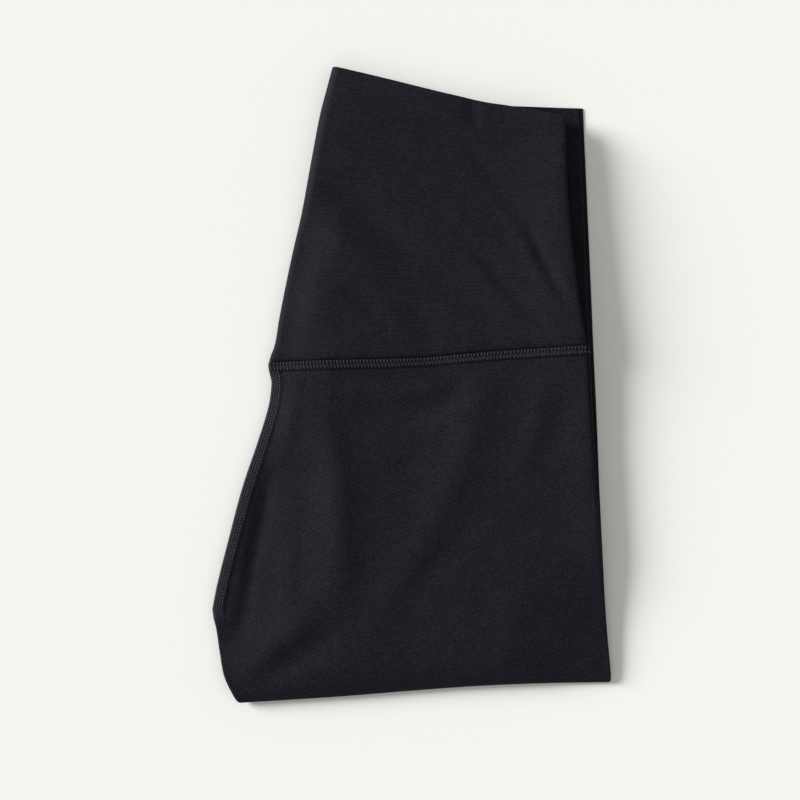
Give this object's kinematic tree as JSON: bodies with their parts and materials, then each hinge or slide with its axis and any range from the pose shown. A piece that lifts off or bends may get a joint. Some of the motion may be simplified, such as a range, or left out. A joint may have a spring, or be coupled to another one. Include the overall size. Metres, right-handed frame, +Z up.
{
  "type": "folded leggings",
  "caption": "Plain black high-waisted leggings, folded in half lengthwise with the legs turned under, lying flat on a surface.",
  "frame": {"origin": "on the surface that the leggings lie on, at the middle of their bounding box", "axes": "+X towards the side folds, +Y towards the waist, +Z up from the surface"},
  "size_m": [0.2395, 0.3817, 0.0129],
  "materials": {
    "waistband_knit": "soft matt",
    "leg_knit": "soft matt"
  },
  "bodies": {
    "root": {"waistband": "waistband_knit", "left_leg": "leg_knit", "right_leg_and_inner_layers": "leg_knit"}
  },
  "joints": []
}
